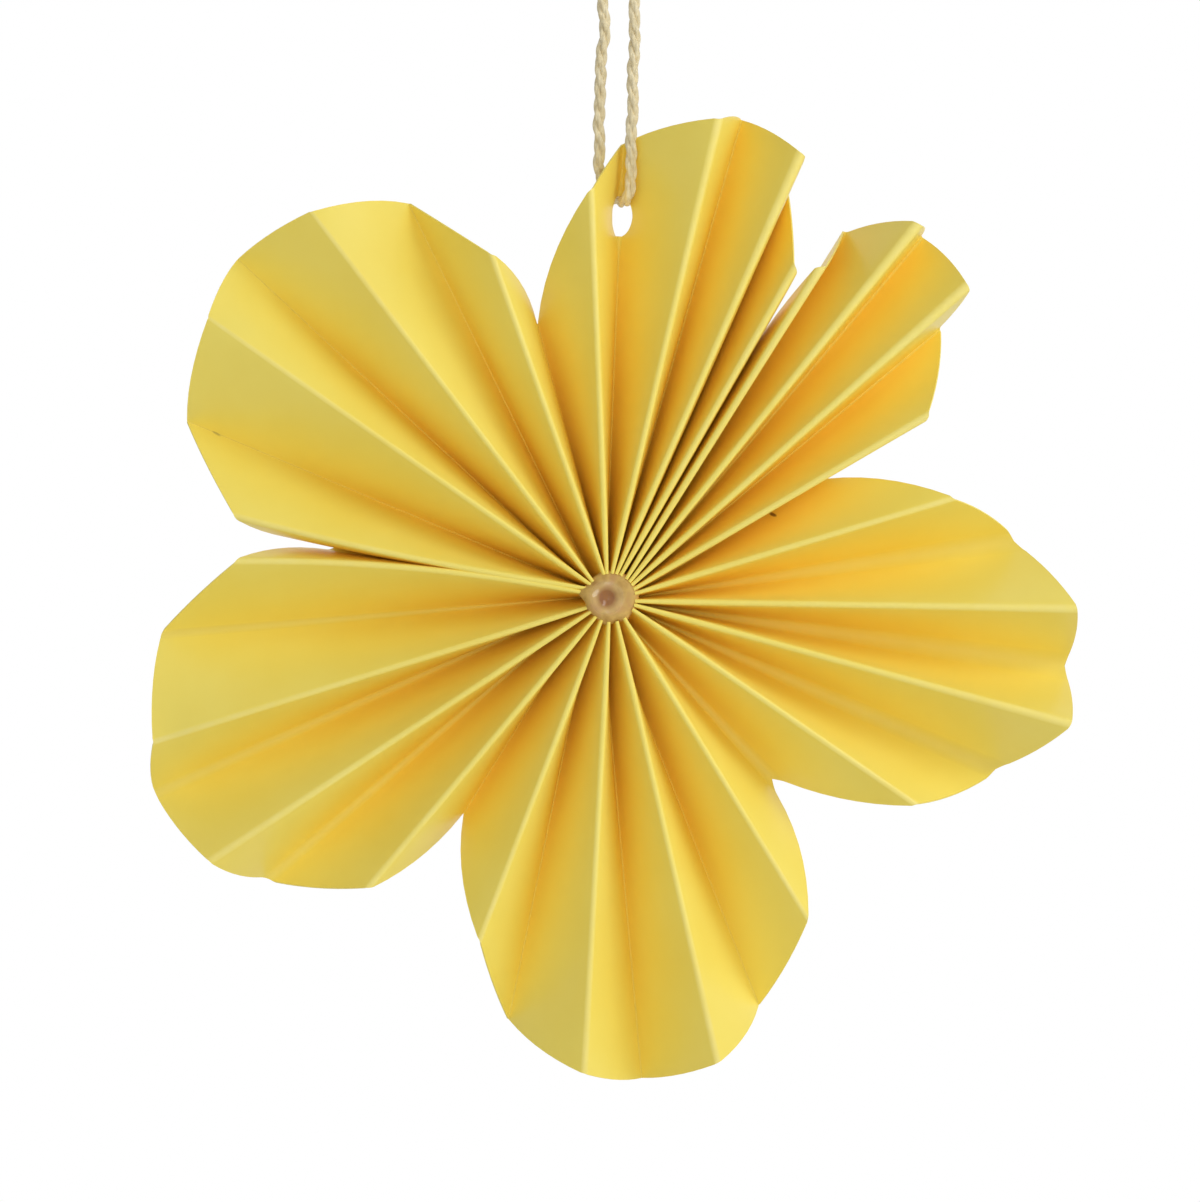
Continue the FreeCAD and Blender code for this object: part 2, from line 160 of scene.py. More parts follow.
# Lumps and hollows on each face: X, Z, radius and lift.
FRONT_LUMPS = ((-0.7, -0.1, 1.6, -0.6), (1.7, 1.2, 1.3, 0.15), (-3.6, -0.5, 2.2, 1.2),
               (1.0, -2.4, 1.3, 0.2))
BACK_LUMPS = ((0.5, -0.6, 1.6, 0.5), (-1.5, 1.2, 1.1, 0.3), (1.8, 1.6, 0.8, -0.3))
GLUE_TURNS, GLUE_RINGS = 96, 14
GLUE_COLOURS = (190, 146, 76), (222, 184, 104), (212, 164, 104)
# The dimple's colour is painted shade in its hollow.
DIMPLE_SHADE_COLOUR = (160, 98, 24)
GLUE_DIMPLE = (-0.7, 0.0)            # X and Z of its wet middle, darkened by painted shade
DIMPLE_EDGE, WET_EDGE = (1.1, 2.05), (2.4, 3.1)   # distances that each fades out over
WET_ROUGHNESS, DRY_ROUGHNESS = 0.14, 0.5

# ---- the studio, in metres and watts ----
CAMERA_DISTANCE, CAMERA_SENSOR = 2.2, 36.0   # the sensor's width in millimetres
VIEW_WIDTH = 0.158 * MM * 1200       # at the flower: the image's width at 0.158 mm to the pixel
VIEW_CENTRE = (-2.69 * MM, -6 * MM, -97.5 * MM)
FLOWER_CENTRE = (0, 0, -0.097)
FLOOR_SIDE, FLOOR_BACK, FLOOR_TOP, FLOOR_PALE = 2.0, 1.2, -0.32, 0.6
SKY_LIGHT = 0.4
LAMPS = {                            # place, width and power; only the key is seen in gloss
    "key": ((1.0, -0.86, 0.61), 0.85, 5.3),
    "side": ((1.43, -0.39, 0.155), 1.0, 3.6),
    "front": ((0.1, -1.9, 0.0), 0.5, 6.5),
    "back": ((-0.3, 1.6, 0.4), 1.0, 7.0),
}


def metres(points):
    """Points about the flower's axis, in millimetres, as points of the row frame."""
    return (np.asarray(points, float) + AXIS) * MM


class Folds:
    """Where the strip's folds and panels run, about the flower's axis, in millimetres."""

    def __init__(self):
        petals = PETALS.values()
        self.reach = self.joined("reaches")
        self.count = len(self.reach)
        self.panel_bow = np.repeat([petal.bow for petal in petals], FOLDS_A_PETAL)
        self.rim_valley = np.repeat([petal.valley for petal in petals], FOLDS_A_PETAL)
        rims = self.with_valleys(RIM_START, "rim_gaps", "rim_shares")
        cores = self.with_valleys(CORE_START, "core_gaps", "core_shares")
        self.inner = CORE * np.stack([np.cos(cores), np.sin(cores)], 1)
        self.outer = self.reach[:, None] * np.stack([np.cos(rims), np.sin(rims)], 1)
        along = self.outer - self.inner
        along /= np.linalg.norm(along, axis=1)[:, None]
        self.across = np.stack([-along[:, 1], along[:, 0]], 1)
        self.bow = np.zeros(self.count)   # of each fold, seen from the front
        self.bow[SEAM_FOLD - 1], self.bow[SEAM_FOLD + 1] = PINCH_BEFORE, -PINCH_AFTER

    @staticmethod
    def joined(field):
        """One field of every petal, end to end."""
        return np.array([value for petal in PETALS.values() for value in getattr(petal, field)],
                        float)

    def with_valleys(self, start, gaps, shares):
        """Fold angles in radians: each valley at its share of the gap before its ridge."""
        gaps = self.joined(gaps)
        gaps = gaps * 360.0 / sum(gaps)
        ridges = start + np.cumsum(gaps)
        valleys = ridges - gaps * (1 - self.joined(shares))
        return np.radians(np.stack([valleys, ridges], 1).ravel())

    def plan(self, fold, reach):
        """The fold as seen from the front: X and Z at each reach."""
        fold %= self.count
        share = ((reach - CORE) / (self.reach[fold] - CORE))[:, None]
        point = self.inner[fold] + (self.outer[fold] - self.inner[fold]) * share
        return point + self.across[fold] * (4 * share * (1 - share) * self.bow[fold])

    def rise(self, panel, reach):
        """How deep a panel stands, so that it keeps the pleat's width across its gap."""
        gap = np.linalg.norm(self.plan(panel + 1, reach) - self.plan(panel, reach), axis=1)
        return np.sqrt(np.maximum(WIDTH**2 - gap**2, (LEAST_RISE * WIDTH) ** 2))

    def radius(self, fold, reach):
        """The radius that a fold's middle layer turns on."""
        reach = np.maximum(reach, CORE)
        share = (reach - CORE) / (self.reach.max() - CORE)
        if fold % 2 == 0:
            grown = CORE_FOLD + (self.rim_valley[fold % self.count] - CORE_FOLD) * share
            if fold % self.count == HOLE_FOLD:
                grown = grown + HOLE_SLACK * np.exp(-((reach - HOLE_REACH) / HOLE_SPREAD) ** 2)
            return grown
        opened = 1 - np.exp(-(reach - CORE) / RIDGE_OPENS)
        grown = CORE_FOLD + (RIDGE_FOLD - CORE_FOLD) * opened
        return grown + (RIM_FOLD - RIDGE_FOLD) * share**3

    @staticmethod
    def side(fold):
        """Which way a fold stands out: even folds are valleys, and odd ones ridges."""
        return FRONT if fold % 2 else BACK

    def centre(self, fold, reach):
        """What a fold's turn is round, at each reach."""
        height = (self.rise(fold - 1, reach) + self.rise(fold, reach)) / 4
        plan = self.plan(fold, reach)
        y = self.side(fold) * (height - self.radius(fold, reach))
        return np.stack([plan[:, 0], y, plan[:, 1]], 1)

    def slope(self, panel, reach):
        """A panel's angle from the flower's plane."""
        step = self.centre(panel + 1, reach) - self.centre(panel, reach)
        before, after = self.across[panel % self.count], self.across[(panel + 1) % self.count]
        gap = step[:, [0, 2]] @ (before + after) / np.linalg.norm(before + after)
        radii = self.radius(panel, reach) + self.radius(panel + 1, reach)
        turn = np.arcsin(radii / np.linalg.norm(step, axis=1))
        return np.arctan2(self.side(panel + 1) * step[:, 1], gap) + turn

    def bow_at(self, panel, reach):
        """How far a panel's middle bows to the front: none at the core."""
        share = np.clip((reach - CORE) / BOW_GROWS, 0, 1)
        return self.panel_bow[panel % self.count] * share * (2 - share)

    def fold_slopes(self, fold, reach):
        """The angles that the bowed panels before and after a fold leave it at."""
        bend = 4 * self.side(fold) / WIDTH
        return [self.slope(panel, reach) + bend * self.bow_at(panel, reach)
                for panel in (fold - 1, fold)]

    def outward(self, fold, angle):
        """From a fold's centre towards the paper, turned from the fold's middle."""
        across = self.across[fold % self.count]
        sine, cosine = np.sin(angle), np.cos(angle)
        return np.stack([across[0] * sine, self.side(fold) * cosine, across[1] * sine], 1)

    def turn_point(self, fold, share, reach, skin):
        """Points along a fold's turn, at a share of the way round it."""
        before, after = self.fold_slopes(fold, reach)
        radius = self.radius(fold, reach) + self.side(fold) * skin * THICKNESS / 2
        outward = self.outward(fold, (before + after) * share - before)
        return self.centre(fold, reach) + outward * radius[:, None]

    def panel_point(self, panel, share, reach, skin):
        """Points along a panel, at a share of the way across it, bowed to the front."""
        start = self.turn_point(panel, 1, reach, skin)
        end = self.turn_point(panel + 1, 0, reach, skin)
        across = self.across[panel % self.count] + self.across[(panel + 1) % self.count]
        across /= np.linalg.norm(across)
        step = end - start
        aside, ahead = step[:, [0, 2]] @ across, step[:, 1]
        front = np.stack([across[0] * ahead, -aside, across[1] * ahead], 1)
        front /= np.linalg.norm(front, axis=1)[:, None]
        bow = 4 * share * (1 - share) * self.bow_at(panel, reach)
        return start + step * share + front * bow[:, None]

    def rim(self, panel, share):
        """The cut rim's distance from the axis, bulging between a panel's folds."""
        here, there = self.reach[panel % self.count], self.reach[(panel + 1) % self.count]
        return here + (there - here) * share + 4 * BULGE * share * (1 - share)

    def turn_width(self, fold, panel):
        """The share of a panel's width that a fold's turn takes at the rim."""
        reach = self.reach[fold % self.count : fold % self.count + 1]
        return float(self.radius(fold, reach)[0] * self.slope(panel, reach)[0] / WIDTH)

    def turn_rim(self, fold, share):
        """The rim where a fold turns."""
        offset = 2 * share - 1
        if offset < 0:
            return self.rim(fold - 1, 1 + offset * self.turn_width(fold, fold - 1))
        return self.rim(fold, offset * self.turn_width(fold, fold))

    def panel_rim(self, panel, share):
        """The rim between the turns at a panel's sides."""
        start, end = self.turn_width(panel, panel), 1 - self.turn_width(panel + 1, panel)
        return self.rim(panel, start + (end - start) * share)

    def columns(self):
        """Every column of the strip: its point function, fold, share and rim."""
        for fold in range(self.count):
            for i in range(TURN_STEPS + 1):
                share = i / TURN_STEPS
                yield self.turn_point, fold, share, self.turn_rim(fold, share)
            for i in range(1, PANEL_STEPS):
                share = i / PANEL_STEPS
                yield self.panel_point, fold, share, self.panel_rim(fold, share)

    def wear_and_painted_light(self):
        """Each point's crease value: above zero where a ridge's crease is pale, worn and with a
        painted highlight, below it where a valley's crease has painted shade.
        """
        steps = np.linspace(0, 1, LONG_STEPS + 1)
        ridge, valley = PALE_CORE + PALE_GAIN * steps, np.full(LONG_STEPS + 1, -VALLEY_SHADE_REACH)
        return np.array([(point == self.turn_point) * (1 - (2 * share - 1) ** 2)
                         * (ridge if fold % 2 else valley)
                         for point, fold, share, _ in self.columns()])

    def skin(self, skin):
        """One skin's points, a row of points for each column."""
        steps = np.linspace(0, 1, LONG_STEPS + 1)
        return np.array([point(fold, share, INNER + (rim - INNER) * steps, skin)
                         for point, fold, share, rim in self.columns()])


def link(name, data):
    """A new object in the scene."""
    piece = bpy.data.objects.new(name, data)
    bpy.context.scene.collection.objects.link(piece)
    return piece


def mesh_piece(name, points, faces):
    """A smooth-shaded piece made of points in the row frame."""
    mesh = bpy.data.meshes.new(name)
    mesh.from_pydata([tuple(point) for point in points], [], faces)
    mesh.polygons.foreach_set("use_smooth", [True] * len(mesh.polygons))
    mesh.update()
    return link(name, mesh)


def strip_faces(columns, rows):
    """Quads of both skins and of the paper's cut edges, for columns that close on themselves."""
    back = columns * rows
    faces, cut = [], []
    for i in range(columns):
        here, there = i * rows, (i + 1) % columns * rows
        for j in range(rows - 1):
            quad = (here + j, here + j + 1, there + j + 1, there + j)
            faces.append(quad)
            faces.append(tuple(corner + back for corner in reversed(quad)))
        for end in (0, rows - 1):
            quad = (here + end, there + end, there + end + back, here + end + back)
            cut.append(quad if end else tuple(reversed(quad)))
    return faces + cut


def hole_cutter(folds, angle, crease, slack, name):
    """Half a punched disc, as a closed prism through one panel beside the hole's fold. The
    slack is what the fold's turn saves against its crease."""
    axis = folds.outward(HOLE_FOLD, angle)[0]
    away = -folds.outward(HOLE_FOLD, angle + np.copysign(math.pi / 2, -angle))[0]
    along = np.cross(away, axis)
    turns = np.linspace(0, math.pi, HOLE_STEPS + 1)
    ring = [crease + away * slack
            + HOLE_DIAMETER / 2 * (along * math.cos(turn) + away * math.sin(turn))
            for turn in turns]
    for end in (0, -1):
        ring[end] = ring[end] - away * (slack + PUNCH_OVERLAP)
    points = [point + axis * depth for depth in (-PUNCH_DEPTH, PUNCH_DEPTH) for point in ring]
    count = len(ring)
    faces = [tuple(range(count)), tuple(reversed(range(count, 2 * count)))]
    faces += [(i, i + count, (i + 1) % count + count, (i + 1) % count) for i in range(count)]
    cutter = mesh_piece(name, metres(points), faces)
    face_outwards(cutter.data)
    return cutter


def face_outwards(mesh):
    """Turn a closed mesh's faces outwards."""
    work = bmesh.new()
    work.from_mesh(mesh)
    bmesh.ops.recalc_face_normals(work, faces=work.faces)
    work.to_mesh(mesh)
    work.free()


def sharpen(mesh, angle):
    """Mark edges that turn by more than an angle as sharp."""
    work = bmesh.new()
    work.from_mesh(mesh)
    for edge in work.edges:
        edge.smooth = len(edge.link_faces) == 2 and edge.calc_face_angle(0) < angle
    work.to_mesh(mesh)
    work.free()


def cut(piece, cutters):
    """Take the cutters out of a piece, and drop them."""
    for cutter in cutters:
        modifier = piece.modifiers.new("cut", "BOOLEAN")
        modifier.operation = "DIFFERENCE"
        modifier.solver = "EXACT"
        modifier.object = cutter
    depsgraph = bpy.context.evaluated_depsgraph_get()
    mesh = bpy.data.meshes.new_from_object(piece.evaluated_get(depsgraph))
    piece.modifiers.clear()
    piece.data = mesh
    for cutter in cutters:
        bpy.data.objects.remove(cutter)


def hole_cutters(folds):
    """The punched hole as two half discs, each square to a panel beside the hole's valley."""
    reach = np.array([HOLE_REACH])
    before, after = (float(slope[0]) for slope in folds.fold_slopes(HOLE_FOLD, reach))
    middle = folds.outward(HOLE_FOLD, np.array([(after - before) / 2]))[0]
    radius = float(folds.radius(HOLE_FOLD, reach)[0])
    half_turn = (before + after) / 2
    crease = folds.centre(HOLE_FOLD, reach)[0] + middle * radius / math.cos(half_turn)
    slack = radius * (math.tan(half_turn) - half_turn)
    return [hole_cutter(folds, np.array([angle]), crease, slack, name)
            for angle, name in ((-before, "punch_before"), (after, "punch_after"))]


def make_paper():
    """The whole pleated strip, with its worn creases, their painted highlights and shade, and
    the hole for the cord.
    """
    folds = Folds()
    front, back = folds.skin(FRONT), folds.skin(BACK)
    points = np.concatenate([front.reshape(-1, 3), back.reshape(-1, 3)])
    paper = mesh_piece("folded_paper", metres(points), strip_faces(*front.shape[:2]))
    face_outwards(paper.data)
    # Ridges: worn creases with a painted highlight; valleys: painted shade.
    crease_wear_and_light = folds.wear_and_painted_light().ravel()
    wear_and_painted_light = paper.data.attributes.new("wear_and_painted_light", "FLOAT", "POINT")
    wear_and_painted_light.data.foreach_set("value", np.concatenate([crease_wear_and_light, crease_wear_and_light]))
    cut(paper, hole_cutters(folds))
    sharpen(paper.data, math.radians(SHARP_ANGLE))
    return paper


# ---- materials ----
def material(name):
    """A new material, its node tree and its main shader."""
    made = bpy.data.materials.new(name)
    made.use_nodes = True
    return made, made.node_tree, made.node_tree.nodes["Principled BSDF"]


def node(tree, kind, inputs=None, **settings):
    """A new shader node, its sockets linked or set and its settings made."""
    made = tree.nodes.new(kind)
    for key, value in settings.items():
        setattr(made, key, value)
    for key, value in (inputs or {}).items():
        feed(tree, value, made.inputs[key])
    return made


def feed(tree, value, socket):
    """Link a socket to another one's output, or set it to a value."""
    if isinstance(value, bpy.types.NodeSocket):
        tree.links.new(value, socket)
    else:
        socket.default_value = value


def maths(tree, operation, first, second):
    """Two values put together."""
    return node(tree, "ShaderNodeMath", {0: first, 1: second}, operation=operation).outputs[0]


def cloud(tree, place, scale, detail):
    """Noise from 0 to 1 at a place; the scale is in cycles a metre."""
    return node(tree, "ShaderNodeTexNoise", {"Vector": place, "Scale": scale,
                                             "Detail": detail}).outputs["Fac"]


def ranged(tree, value, limits, low, high):
    """A value between two limits, moved to lie between two others and kept within them."""
    return node(tree, "ShaderNodeMapRange", {"Value": value, "From Min": limits[0],
                                             "From Max": limits[1], "To Min": low,
                                             "To Max": high}).outputs["Result"]


def ramp(tree, factor, positions, colours):
    """Colours in sRGB blended by a factor, each at its position."""
    made = node(tree, "ShaderNodeValToRGB", {"Fac": factor})
    elements = made.color_ramp.elements
    while len(elements) < len(positions):
        elements.new(0.5)
    for element, position, colour in zip(elements, positions, colours):
        element.position = position
        element.color = linear(colour)
    return made.outputs["Color"]


def mixed(tree, factor, first, colour):
    """A colour in sRGB over another one's socket, by a factor."""
    made = node(tree, "ShaderNodeMix", data_type="RGBA")
    for socket, value in zip((made.inputs["Factor"], made.inputs[6], made.inputs[7]),
                             (factor, first, linear(colour))):
        feed(tree, value, socket)
    return made.outputs[2]


def linear(colour):
    """An sRGB colour of 0 to 255 as linear values, with alpha."""
    values = [value / 255 for value in colour]
    return *(v / 12.92 if v <= 0.04045 else ((v + 0.055) / 1.055) ** 2.4 for v in values), 1


def object_place(tree):
    """Where a point is on its piece, in metres."""
    return node(tree, "ShaderNodeTexCoord").outputs["Object"]


def paper_material():
    """Satin yellow paper: its ridges' creases paler, worn and with a painted highlight, its
    valleys' creases darker with painted shade, and two small marks."""
    made, tree, shader = material("satin_yellow_paper")
    place = object_place(tree)
    colour = ramp(tree, cloud(tree, place, 60.0, 4.0), (0.35, 0.65), PAPER_COLOURS)
    wear_and_painted_light = node(tree, "ShaderNodeAttribute", attribute_name="wear_and_painted_light").outputs["Fac"]
    uneven = ranged(tree, cloud(tree, place, 350.0, 3.0), (0.3, 0.7), 0.55, 1.0)
    # The ridges' creases are paler: worn paper and a painted highlight.
    colour = mixed(tree, maths(tree, "MULTIPLY", wear_and_painted_light, uneven), colour, RIDGE_WEAR_AND_HIGHLIGHT)
    # Painted shade darkens the valleys' creases.
    colour = mixed(tree, maths(tree, "MULTIPLY", wear_and_painted_light, -1.0), colour, VALLEY_PAINTED_SHADE)
    for name, mark in MARKS.items():
        colour = mixed(tree, mark_mask(tree, place, name, *mark), colour, MARK_COLOUR)
    tree.links.new(colour, shader.inputs["Base Color"])
    shader.inputs["Roughness"].default_value = 0.38
    shader.inputs["Specular IOR Level"].default_value = 0.3
    bump = node(tree, "ShaderNodeBump", {"Height": cloud(tree, place, 2500.0, 3.0),
                                         "Strength": 0.06, "Distance": 0.0001})
    tree.links.new(bump.outputs["Normal"], shader.inputs["Normal"])
    return made


def mark_mask(tree, place, name, x, z, length, width, lean, darkness):
    """How dark a small leaning oval mark is at a place: its darkness, fading past its edge."""
    away = node(tree, "ShaderNodeVectorMath", {0: place, 1: (x * MM, 0, z * MM)},
                operation="SUBTRACT", name=name)
    turned = node(tree, "ShaderNodeVectorRotate", {"Vector": away.outputs["Vector"],
                                                   "Angle": math.radians(lean)},
                  rotation_type="Y_AXIS")
    scaled = node(tree, "ShaderNodeVectorMath", {0: turned.outputs["Vector"],
                                                 1: (2 / (length * MM), 0, 2 / (width * MM))},
                  operation="MULTIPLY")
    reach = node(tree, "ShaderNodeVectorMath", {0: scaled.outputs["Vector"]}, operation="LENGTH")
    return ranged(tree, reach.outputs["Value"], (0.6, 1.15), darkness, 0.0)


def cord_material():
    """Undyed cotton: dull, with a faint fuzz."""
    made, tree, shader = material("natural_cotton")
    colour = ramp(tree, cloud(tree, object_place(tree), 900.0, 4.0), (0.3, 0.7), COTTON_COLOURS)
    tree.links.new(colour, shader.inputs["Base Color"])
    shader.inputs["Roughness"].default_value = 0.85
    shader.inputs["Sheen Weight"].default_value = 0.3
    return made


def glue_material():
    """Milky hot glue, dull at its lips and wet in the middle, with painted shade darkening its
    dimple."""
    made, tree, shader = material("hot_glue")
    place = object_place(tree)
    milky = ramp(tree, cloud(tree, place, 420.0, 3.0), (0.3, 0.5, 0.7), GLUE_COLOURS)
    dimple = metres((GLUE_DIMPLE[0], FRONT * GLUE_FRONT, GLUE_DIMPLE[1]))
    away = node(tree, "ShaderNodeVectorMath", {0: place, 1: tuple(dimple)},
                operation="DISTANCE").outputs["Value"]
    dimple_shade, wet = (ranged(tree, away, (start * MM, end * MM), 1.0, 0.0)
                 for start, end in (DIMPLE_EDGE, WET_EDGE))
    rough = ranged(tree, wet, (0.0, 1.0), DRY_ROUGHNESS, WET_ROUGHNESS)
    # The dimple's hollow is darkened with painted shade.
    tree.links.new(mixed(tree, dimple_shade, milky, DIMPLE_SHADE_COLOUR), shader.inputs["Base Color"])
    tree.links.new(rough, shader.inputs["Roughness"])
    tree.links.new(wet, shader.inputs["Coat Weight"])
    shader.inputs["Transmission Weight"].default_value = 0.2
    shader.inputs["IOR"].default_value = 1.48
    shader.inputs["Specular IOR Level"].default_value = 0.1
    shader.inputs["Coat Roughness"].default_value = 0.08
    return made


# ---- cord ----
def arc_lengths(line):
    """How far along a polyline each of its points is."""
    return np.concatenate([[0], np.cumsum(np.linalg.norm(np.diff(line, axis=0), axis=1))])


def resampled(line, step):
    """A polyline's points again, evenly spaced."""
    lengths = arc_lengths(line)
    places = np.linspace(0, lengths[-1], max(2, int(round(lengths[-1] / step))) + 1)
    return np.stack([np.interp(places, lengths, line[:, i]) for i in range(3)], 1)


def carried_frames(line):
    """Two normals along a line, carried on without twisting."""
    tangents = np.gradient(line, axis=0)
    tangents /= np.linalg.norm(tangents, axis=1)[:, None]
    normal = np.cross((0.0, 1.0, 0.0), tangents[0])
    normals = []
    for tangent in tangents:
        normal = normal - tangent * normal.dot(tangent)
        normal /= np.linalg.norm(normal)
        normals.append(normal)
    normals = np.array(normals)
    return normals, np.cross(tangents, normals)


def tube(line, radii, sides):
    """Points and faces of a tube with closed ends round a line."""
    normals, sideways = carried_frames(line)
    turns = np.linspace(0, 2 * math.pi, sides, endpoint=False)
    ring = (normals[:, None] * np.cos(turns)[None, :, None]
            + sideways[:, None] * np.sin(turns)[None, :, None])
    points = (line[:, None] + ring * radii[:, None, None]).reshape(-1, 3)
    faces = [(i * sides + j, i * sides + (j + 1) % sides, (i + 1) * sides + (j + 1) % sides,
              (i + 1) * sides + j) for i in range(len(line) - 1) for j in range(sides)]
    faces.append(tuple(reversed(range(sides))))
    faces.append(tuple(range((len(line) - 1) * sides, len(line) * sides)))
    return points, faces


def laid(line, lay, pitch, start):
    """Lines laid round a line at a lay radius, in millimetres; the pitch's sign is the hand."""
    normals, sideways = carried_frames(line)
    lay = np.broadcast_to(lay, len(line))[:, None] * MM
    for strand in range(STRANDS):
        turn = -2 * math.pi * (arc_lengths(line) / (pitch * MM) - strand / STRANDS) + start
        yield line + lay * (normals * np.cos(turn)[:, None] + sideways * np.sin(turn)[:, None])


def rope(lines, splay):
    """Points and faces of twisted cords: yarns laid into plies, and plies laid into a cord.
    The plies stand apart by the splay near the cords' far ends."""
    points, faces, start = [], [], 0
    for line in lines:
        line = resampled(line, ROPE_STEP * MM)
        normals, sideways = carried_frames(line)
        lengths = arc_lengths(line) / MM
        for swing, wavelength, turn in WOBBLES:
            angle = 2 * math.pi * lengths / wavelength + turn
            line = line + swing * MM * (normals * np.sin(angle)[:, None]
                                        + sideways * np.cos(angle * 0.7)[:, None])
        opened = 1 + splay * np.clip(1 - (lengths[-1] - lengths) / SPLAY_REACH, 0, 1) ** 2
        whole = np.clip(np.minimum(lengths, lengths[-1] - lengths) / YARN_END, 0, 1)
        narrowed = END_NARROW + (1 - END_NARROW) * whole
        for ply, middle in enumerate(laid(line, PLY_LAY * opened, PLY_PITCH, PLY_START)):
            for yarn, centre in enumerate(laid(middle, YARN_LAY * opened, YARN_PITCH, ply)):
                wave = np.sin(lengths * (1.1 + 0.3 * yarn) + 2 * ply + yarn)
                radii = YARN_RADIUS * MM * (1 + YARN_UNEVEN * wave) * narrowed
                tube_points, tube_faces = tube(centre, radii, YARN_SIDES)
                points.append(tube_points)
                faces += [tuple(corner + start for corner in face) for face in tube_faces]
                start += len(tube_points)
    return np.concatenate(points), faces


def smooth_line(points):
    """A smooth spline round control points in metres, as points."""
    curve = bpy.data.curves.new("guide", "CURVE")
    curve.dimensions = "3D"
    spline = curve.splines.new("NURBS")
    spline.points.add(len(points) - 1)
    for point, place in zip(spline.points, points):
        point.co = (*place, 1)
    spline.order_u = 3
    spline.use_endpoint_u = True
    curve.resolution_u = 40
    guide = link("guide", curve)
    mesh = bpy.data.meshes.new_from_object(guide)
    line = np.array([vertex.co for vertex in mesh.vertices])
    bpy.data.objects.remove(guide)
    return line


def knot_lines():
    """The pair of cords' lines: up out of the loop, through an overhand knot that is a
    polynomial curve, and out as two tails."""
    t = np.linspace(-KNOT_END, KNOT_END, KNOT_POINTS)
    knot = np.stack([t**3 - 3 * t, t**4 - 4 * t**2 + 2, t**5 - 10 * t], 1)
    points = np.concatenate([[(0, 0, -0.3), (0, 0, 1.0)], knot * KNOT_SIZE + KNOT_MIDDLE,
                             [(0.4, 0.2, 7.6), (0, 0, 9.5), (0, 0, TAIL_TOP)]])
    line = resampled(smooth_line(points * MM), ROPE_STEP * MM)
    normals, sideways = carried_frames(line)
    share = np.linspace(0, 1, len(line))
    turn = -math.atan2(sideways[-1] @ (1, 0, 0), normals[-1] @ (1, 0, 0)) * share
    across = normals * np.cos(turn)[:, None] - sideways * np.sin(turn)[:, None]
    near = np.clip(arc_lengths(line) / MM / LOOP_NECK, 0, 1)
    low = (1 - near) ** 2 * (1 + 2 * near)
    height = line[:, 2] / MM
    high = np.clip((height - TAIL_FOOT) / (TAIL_TOP - TAIL_FOOT), 0, 1) * (share > 0.5)
    apart = PAIR_APART + (LOOP_APART - PAIR_APART) * low + (TAIL_APART - PAIR_APART) * high
    return [line + side * apart[:, None] * MM * across for side in (-1, 1)]


# ---- glue ----
def glue_face(turns, lip, lumps, side):
    """Rings of points from the middle of one of the glue's faces out to its lip."""
    rings = []
    for share in np.linspace(0, 1, GLUE_RINGS + 1)[1:]:
        x, z = lip * share * np.cos(turns), lip * share * np.sin(turns)
        height = GLUE_FRONT + GLUE_DOME * (1 - share**2)
        for lump_x, lump_z, radius, lift in lumps:
            height = height + lift * np.exp(-((x - lump_x) ** 2 + (z - lump_z) ** 2) / radius**2)
        height = height - GLUE_DROOP * share**DROOP_POWER
        rings.append(np.stack([x, side * height, z], 1))
    return rings


def make_glue():
    """The hot glue in the core: a plug whose lobed lips lap over the ends of the folds."""
    turns = np.linspace(0, 2 * math.pi, GLUE_TURNS, endpoint=False)
    ways = np.stack([np.cos(turns), np.zeros(GLUE_TURNS), np.sin(turns)], 1)
    uneven = np.array([noise.noise(Vector((GLUE_ROUGH * math.cos(turn),
                                           GLUE_ROUGH * math.sin(turn), 0))) for turn in turns])
    angle, spread, reach = GLUE_LOBE
    away = (np.degrees(turns) - angle + 180) % 360 - 180
    front_lip = (GLUE_LIP + GLUE_LEAN * np.cos(turns - math.radians(GLUE_LEANS_TO))
                 + FRONT_UNEVEN * uneven + reach * np.exp(-(away / spread) ** 2))
    back_lip = GLUE_LIP - BACK_UNEVEN * uneven
    rings = glue_face(turns, front_lip, FRONT_LUMPS, FRONT)
    rings.append(ways * (front_lip[:, None] - GLUE_EDGE) + (0, FRONT * GLUE_UNDER, 0))
    rings += [ways * GLUE_WALL + (0, side * (GLUE_UNDER - GLUE_STEP), 0)
              for side in (FRONT, BACK)]
    rings.append(ways * (back_lip[:, None] - GLUE_EDGE) + (0, BACK * GLUE_UNDER, 0))
    rings += reversed(glue_face(turns, back_lip, BACK_LUMPS, BACK))
    glue = mesh_piece("hot_glue", metres(np.concatenate(
        [[ring.mean(axis=0) for ring in (rings[0], rings[-1])], *rings])), closed_rings(rings))
    face_outwards(glue.data)
    return glue


def closed_rings(rings):
    """Faces that join rings of points, and close the first and last round points 0 and 1."""
    count = len(rings[0])
    starts = [2 + i * count for i in range(len(rings))]
    steps = [(i, (i + 1) % count) for i in range(count)]
    faces = [(0, starts[0] + after, starts[0] + before) for before, after in steps]
    for here, there in zip(starts, starts[1:]):
        faces += [(here + before, here + after, there + after, there + before)
                  for before, after in steps]
    return faces + [(1, starts[-1] + before, starts[-1] + after) for before, after in steps]


# ---- studio ----
def add_lamp(name, place, width, power):
    """A soft round lamp that faces the flower."""
    light = bpy.data.lights.new(name, "AREA")
    light.shape = "DISK"
    light.size = width
    light.energy = power
    lamp = link(name, light)
    lamp.location = place
    facing = Vector(FLOWER_CENTRE) - Vector(place)
    lamp.rotation_euler = facing.to_track_quat("-Z", "Y").to_euler()
    lamp.visible_glossy = name == "key"


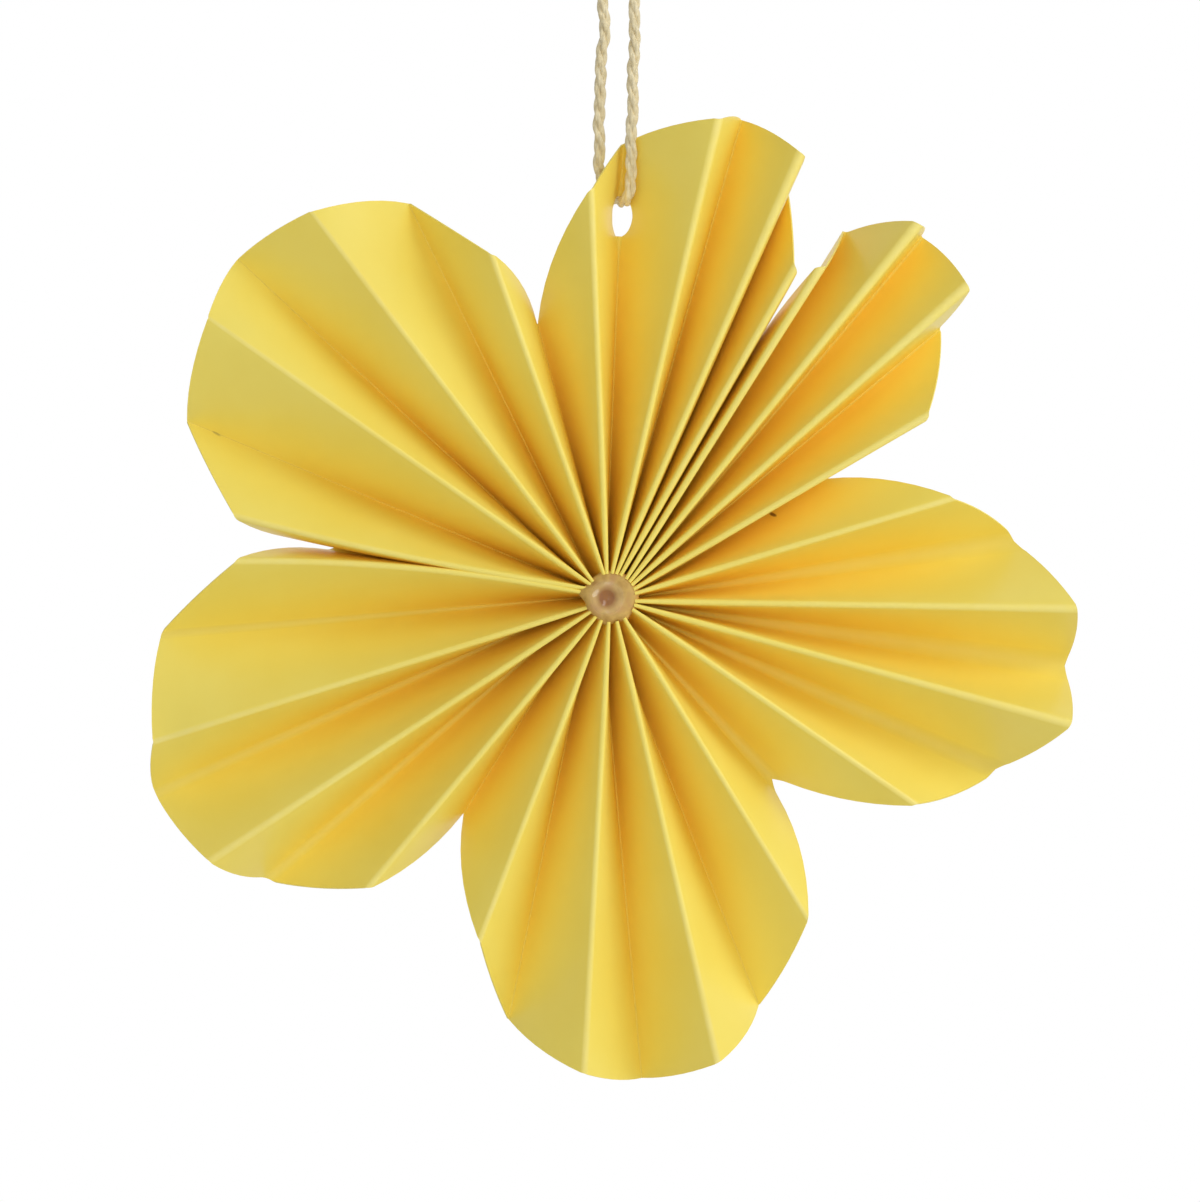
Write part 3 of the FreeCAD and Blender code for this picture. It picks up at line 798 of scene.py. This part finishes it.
def make_camera():
    """The photo's camera: level, square to the flower and far off."""
    data = bpy.data.cameras.new("camera")
    data.sensor_fit = "HORIZONTAL"
    data.sensor_width = CAMERA_SENSOR
    data.lens = CAMERA_SENSOR * CAMERA_DISTANCE / VIEW_WIDTH
    data.clip_end = 20
    camera = link("camera", data)
    x, y, z = VIEW_CENTRE
    camera.location = (x, y - CAMERA_DISTANCE, z)
    camera.rotation_euler = (math.pi / 2, 0, 0)
    bpy.context.scene.camera = camera


def seen_rays(tree):
    """One for the rays that see a backdrop as it is, and zero for the light that it sheds."""
    path = node(tree, "ShaderNodeLightPath")
    seen = maths(tree, "MAXIMUM", path.outputs["Is Camera Ray"], path.outputs["Is Glossy Ray"])
    return maths(tree, "MAXIMUM", seen, path.outputs["Is Transmission Ray"])


def blended(tree, share, first, second, end):
    """End a tree in two shaders, the second one by a share."""
    mix = node(tree, "ShaderNodeMixShader", {0: share, 1: first.outputs[0],
                                             2: second.outputs[0]})
    tree.links.new(mix.outputs[0], tree.nodes[end].inputs["Surface"])


def make_world():
    """A white backdrop that sheds less light than it shows."""
    world = bpy.data.worlds.new("studio")
    bpy.context.scene.world = world
    world.use_nodes = True
    tree = world.node_tree
    light, seen = (node(tree, "ShaderNodeBackground", {"Color": (1, 1, 1, 1),
                                                       "Strength": strength})
                   for strength in (SKY_LIGHT, 1.0))
    blended(tree, seen_rays(tree), light, seen, "World Output")


def make_floor():
    """A plain pale floor well under the flower."""
    corners = [(x, y, FLOOR_TOP) for x, y in ((-FLOOR_SIDE, -FLOOR_SIDE),
                                              (FLOOR_SIDE, -FLOOR_SIDE),
                                              (FLOOR_SIDE, FLOOR_BACK),
                                              (-FLOOR_SIDE, FLOOR_BACK))]
    floor = mesh_piece("floor", corners, [(0, 1, 2, 3)])
    made, tree, shader = material("pale_floor")
    shader.inputs["Base Color"].default_value = (0.8, 0.8, 0.8, 1)
    shader.inputs["Roughness"].default_value = 0.8
    pale = node(tree, "ShaderNodeEmission", {"Color": (1, 1, 1, 1), "Strength": 1.0})
    share = maths(tree, "MULTIPLY", seen_rays(tree), FLOOR_PALE)
    blended(tree, share, shader, pale, "Material Output")
    floor.data.materials.append(made)


def make_studio():
    """The camera, backdrop, floor and lamps. Deep pleats need many bounces of light."""
    scene = bpy.context.scene
    scene.view_settings.view_transform = "Standard"
    scene.cycles.max_bounces = 16
    scene.cycles.diffuse_bounces = 12
    make_camera()
    make_world()
    make_floor()
    for name, (place, width, power) in LAMPS.items():
        add_lamp(name, place, width, power)


def finish_piece(piece, made):
    """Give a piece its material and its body."""
    piece.data.materials.clear()
    piece.data.materials.append(made)
    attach(piece, "root")


def main():
    """Build the studio and the four pieces."""
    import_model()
    make_studio()

    cotton = cord_material()
    line = resampled(smooth_line(metres(CORD_ROUTE)), ROPE_STEP * MM)
    cord = mesh_piece("twisted_cord", *rope([line], 0.0))
    finish_piece(cord, cotton)
    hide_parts("hanging_cord")
    knot = mesh_piece("tied_knot", *rope(knot_lines(), KNOT_SPLAY))
    finish_piece(knot, cotton)
    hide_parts("cord_knot")

    paper = make_paper()
    finish_piece(paper, paper_material())
    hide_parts("pleated_paper")

    glue = make_glue()
    finish_piece(glue, glue_material())
    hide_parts("glue_plug")


main()
